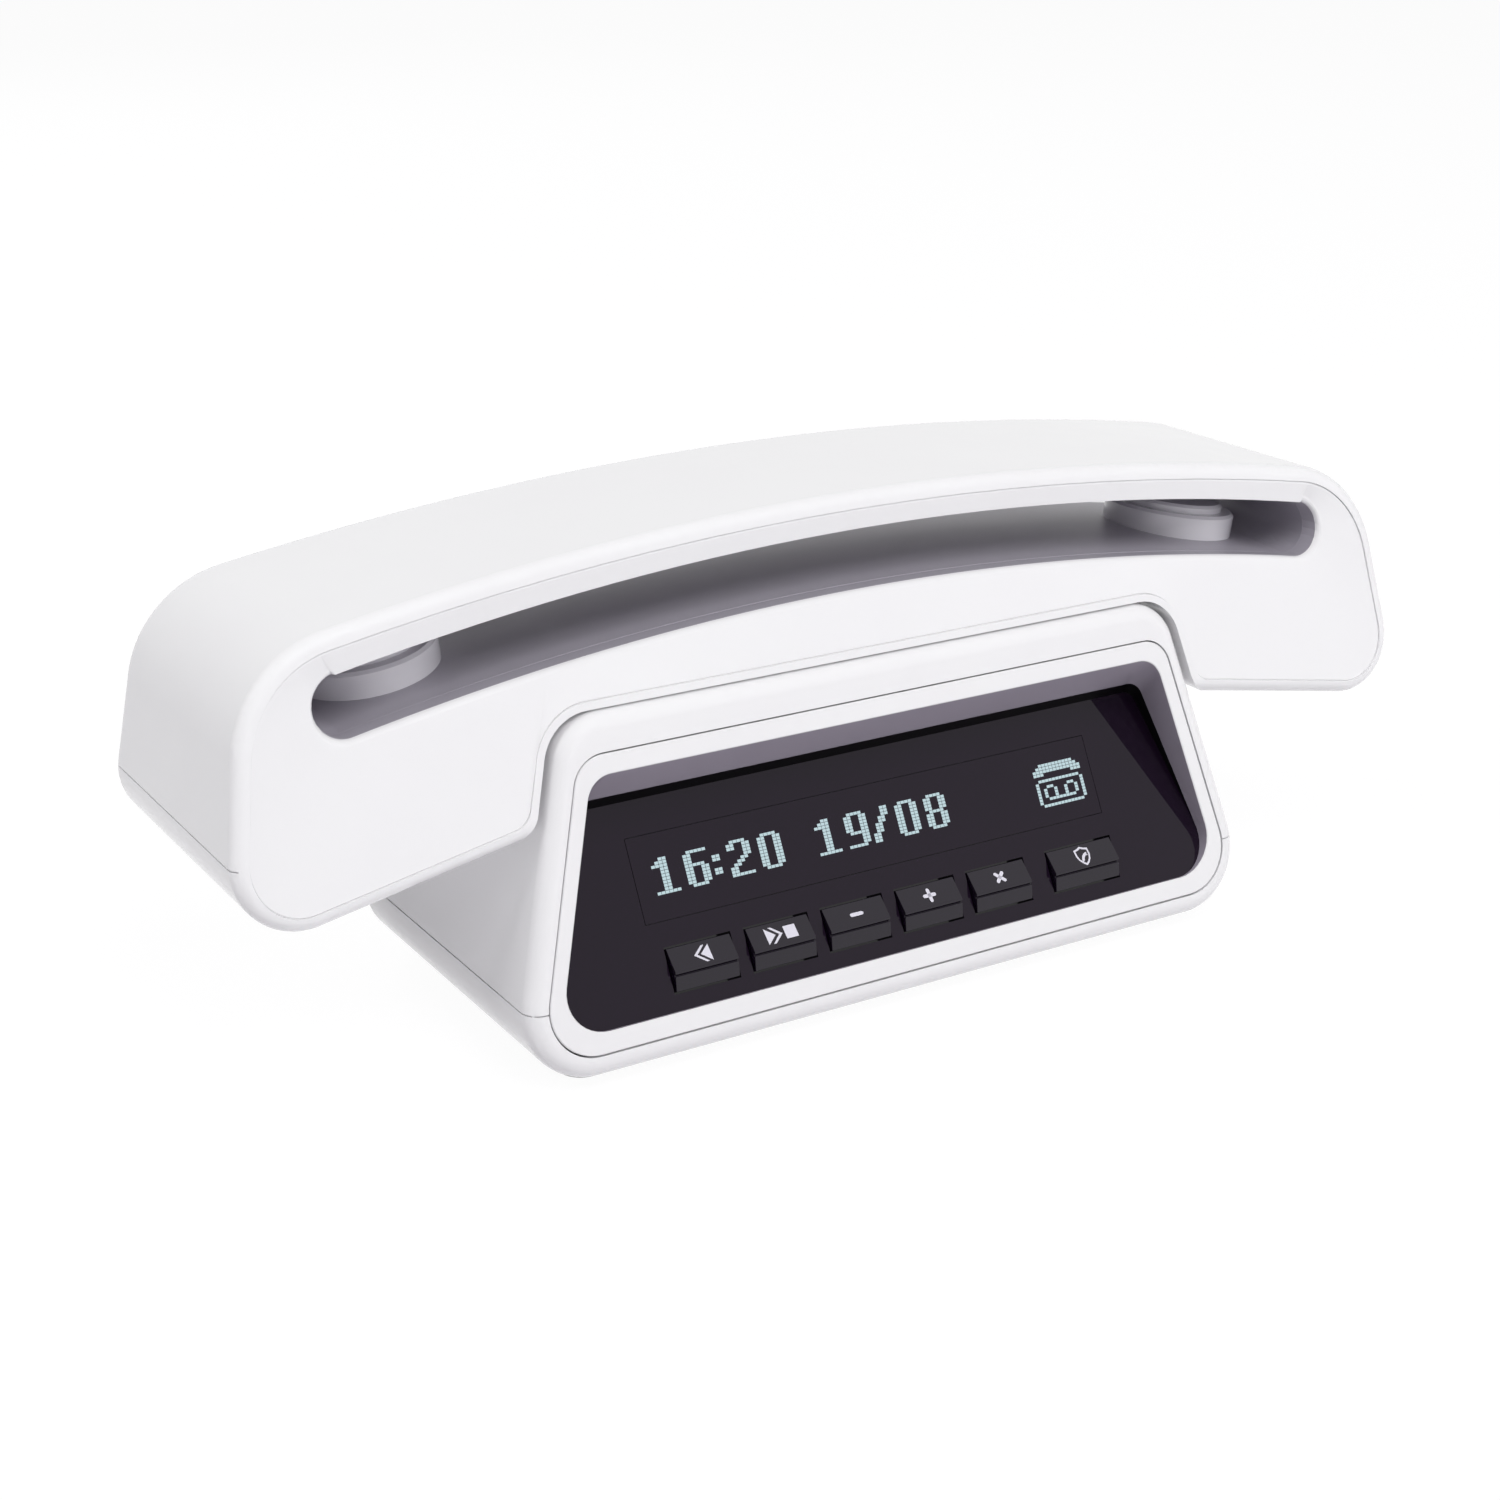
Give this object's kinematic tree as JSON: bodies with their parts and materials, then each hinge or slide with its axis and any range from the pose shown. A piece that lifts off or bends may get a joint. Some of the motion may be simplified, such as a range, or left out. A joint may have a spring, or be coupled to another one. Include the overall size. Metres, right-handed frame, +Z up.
{
  "type": "cordless telephone with answering machine",
  "caption": "Cordless telephone with an answering machine: an arched handset with a long grip slot lies across a wedge base with a dark display window and a row of keys.",
  "frame": {"origin": "on the table, under the middle of the telephone's bounding box", "axes": "+X to the right seen from the front along the handset, +Y to the back, +Z up"},
  "size_m": [0.2186, 0.066, 0.0816],
  "materials": {
    "gloss_white_plastic": "polished white moulding",
    "satin_grey_plastic": "satin grey moulding",
    "satin_white_plastic": "satin white moulding",
    "gloss_black_plastic": "polished black moulding",
    "smoked_glass": "smoked clear window",
    "display_module_black": "dark display stack",
    "key_plastic": "black satin key",
    "silicone": "grey silicone",
    "circuit_board": "green solder mask",
    "speaker_black": "black cone and basket",
    "nickel": "nickel plate",
    "satin_dark_plastic": "spark-textured dark moulding",
    "black_rubber": "black rubber",
    "zinc_steel": "zinc-plated steel",
    "socket_black_plastic": "black socket moulding",
    "battery_sleeve": "blue shrink sleeve"
  },
  "bodies": {
    "base": {"base_upper_shell": "gloss_white_plastic", "base_lower_shell": "gloss_white_plastic", "front_bezel": "gloss_white_plastic", "display_tray": "gloss_black_plastic", "display_glass": "smoked_glass", "display_module": "display_module_black", "base_key_mat": "silicone", "base_key_board": "circuit_board", "base_main_board": "circuit_board", "base_loudspeaker": "speaker_black", "base_charge_contacts": "nickel", "bottom_plate": "satin_dark_plastic", "base_feet": "black_rubber", "base_screws": "zinc_steel", "line_jack": "socket_black_plastic", "power_jack": "socket_black_plastic"},
    "handset": {"handset_upper_shell": "gloss_white_plastic", "handset_lower_shell": "gloss_white_plastic", "handset_front_fascia": "gloss_white_plastic", "handset_back_fascia": "gloss_white_plastic", "grip_liner": "satin_grey_plastic", "earpiece_capsule": "satin_white_plastic", "microphone_capsule": "satin_white_plastic", "earpiece_speaker": "speaker_black", "microphone": "nickel", "handset_battery": "battery_sleeve", "handset_board": "circuit_board", "handset_key_mat": "silicone", "handset_display_window": "smoked_glass", "handset_display_module": "display_module_black", "handset_charge_contacts": "nickel"},
    "key_rewind": {"key_rewind": "key_plastic"},
    "key_play_stop": {"key_play_stop": "key_plastic"},
    "key_volume_down": {"key_volume_down": "key_plastic"},
    "key_volume_up": {"key_volume_up": "key_plastic"},
    "key_delete": {"key_delete": "key_plastic"},
    "key_call_screen": {"key_call_screen": "key_plastic"},
    "key_1": {"key_1": "key_plastic"},
    "key_2": {"key_2": "key_plastic"},
    "key_3": {"key_3": "key_plastic"},
    "key_4": {"key_4": "key_plastic"},
    "key_5": {"key_5": "key_plastic"},
    "key_6": {"key_6": "key_plastic"},
    "key_7": {"key_7": "key_plastic"},
    "key_8": {"key_8": "key_plastic"},
    "key_9": {"key_9": "key_plastic"},
    "key_star": {"key_star": "key_plastic"},
    "key_0": {"key_0": "key_plastic"},
    "key_hash": {"key_hash": "key_plastic"},
    "key_talk": {"key_talk": "key_plastic"},
    "key_up": {"key_up": "key_plastic"},
    "key_down": {"key_down": "key_plastic"},
    "key_end": {"key_end": "key_plastic"}
  },
  "joints": [
    {"name": "handset_lift", "type": "slide", "parent": "base", "child": "handset", "axis": [0, 0, 1], "range_m": [0, 0.1]},
    {"name": "key_rewind_press", "type": "slide", "parent": "base", "child": "key_rewind", "axis": [0, 0.8829, -0.4695], "range_m": [0, 0.0008], "stiffness_N_per_m": 400, "springref_m": -0.0005},
    {"name": "key_play_stop_press", "type": "slide", "parent": "base", "child": "key_play_stop", "axis": [0, 0.8829, -0.4695], "range_m": [0, 0.0008], "stiffness_N_per_m": 400, "springref_m": -0.0005},
    {"name": "key_volume_down_press", "type": "slide", "parent": "base", "child": "key_volume_down", "axis": [0, 0.8829, -0.4695], "range_m": [0, 0.0008], "stiffness_N_per_m": 400, "springref_m": -0.0005},
    {"name": "key_volume_up_press", "type": "slide", "parent": "base", "child": "key_volume_up", "axis": [0, 0.8829, -0.4695], "range_m": [0, 0.0008], "stiffness_N_per_m": 400, "springref_m": -0.0005},
    {"name": "key_delete_press", "type": "slide", "parent": "base", "child": "key_delete", "axis": [0, 0.8829, -0.4695], "range_m": [0, 0.0008], "stiffness_N_per_m": 400, "springref_m": -0.0005},
    {"name": "key_call_screen_press", "type": "slide", "parent": "base", "child": "key_call_screen", "axis": [0, 0.8829, -0.4695], "range_m": [0, 0.0008], "stiffness_N_per_m": 400, "springref_m": -0.0005},
    {"name": "key_1_press", "type": "slide", "parent": "handset", "child": "key_1", "axis": [0, 0, 1], "range_m": [0, 0.0004], "stiffness_N_per_m": 400, "springref_m": -0.0005},
    {"name": "key_2_press", "type": "slide", "parent": "handset", "child": "key_2", "axis": [0, 0, 1], "range_m": [0, 0.0004], "stiffness_N_per_m": 400, "springref_m": -0.0005},
    {"name": "key_3_press", "type": "slide", "parent": "handset", "child": "key_3", "axis": [0, 0, 1], "range_m": [0, 0.0004], "stiffness_N_per_m": 400, "springref_m": -0.0005},
    {"name": "key_4_press", "type": "slide", "parent": "handset", "child": "key_4", "axis": [0, 0, 1], "range_m": [0, 0.0004], "stiffness_N_per_m": 400, "springref_m": -0.0005},
    {"name": "key_5_press", "type": "slide", "parent": "handset", "child": "key_5", "axis": [0, 0, 1], "range_m": [0, 0.0004], "stiffness_N_per_m": 400, "springref_m": -0.0005},
    {"name": "key_6_press", "type": "slide", "parent": "handset", "child": "key_6", "axis": [0, 0, 1], "range_m": [0, 0.0004], "stiffness_N_per_m": 400, "springref_m": -0.0005},
    {"name": "key_7_press", "type": "slide", "parent": "handset", "child": "key_7", "axis": [0, 0, 1], "range_m": [0, 0.0004], "stiffness_N_per_m": 400, "springref_m": -0.0005},
    {"name": "key_8_press", "type": "slide", "parent": "handset", "child": "key_8", "axis": [0, 0, 1], "range_m": [0, 0.0004], "stiffness_N_per_m": 400, "springref_m": -0.0005},
    {"name": "key_9_press", "type": "slide", "parent": "handset", "child": "key_9", "axis": [0, 0, 1], "range_m": [0, 0.0004], "stiffness_N_per_m": 400, "springref_m": -0.0005},
    {"name": "key_star_press", "type": "slide", "parent": "handset", "child": "key_star", "axis": [0, 0, 1], "range_m": [0, 0.0004], "stiffness_N_per_m": 400, "springref_m": -0.0005},
    {"name": "key_0_press", "type": "slide", "parent": "handset", "child": "key_0", "axis": [0, 0, 1], "range_m": [0, 0.0004], "stiffness_N_per_m": 400, "springref_m": -0.0005},
    {"name": "key_hash_press", "type": "slide", "parent": "handset", "child": "key_hash", "axis": [0, 0, 1], "range_m": [0, 0.0004], "stiffness_N_per_m": 400, "springref_m": -0.0005},
    {"name": "key_talk_press", "type": "slide", "parent": "handset", "child": "key_talk", "axis": [0, 0, 1], "range_m": [0, 0.0004], "stiffness_N_per_m": 400, "springref_m": -0.0005},
    {"name": "key_up_press", "type": "slide", "parent": "handset", "child": "key_up", "axis": [0, 0, 1], "range_m": [0, 0.0004], "stiffness_N_per_m": 400, "springref_m": -0.0005},
    {"name": "key_down_press", "type": "slide", "parent": "handset", "child": "key_down", "axis": [0, 0, 1], "range_m": [0, 0.0004], "stiffness_N_per_m": 400, "springref_m": -0.0005},
    {"name": "key_end_press", "type": "slide", "parent": "handset", "child": "key_end", "axis": [0, 0, 1], "range_m": [0, 0.0004], "stiffness_N_per_m": 400, "springref_m": -0.0005}
  ]
}
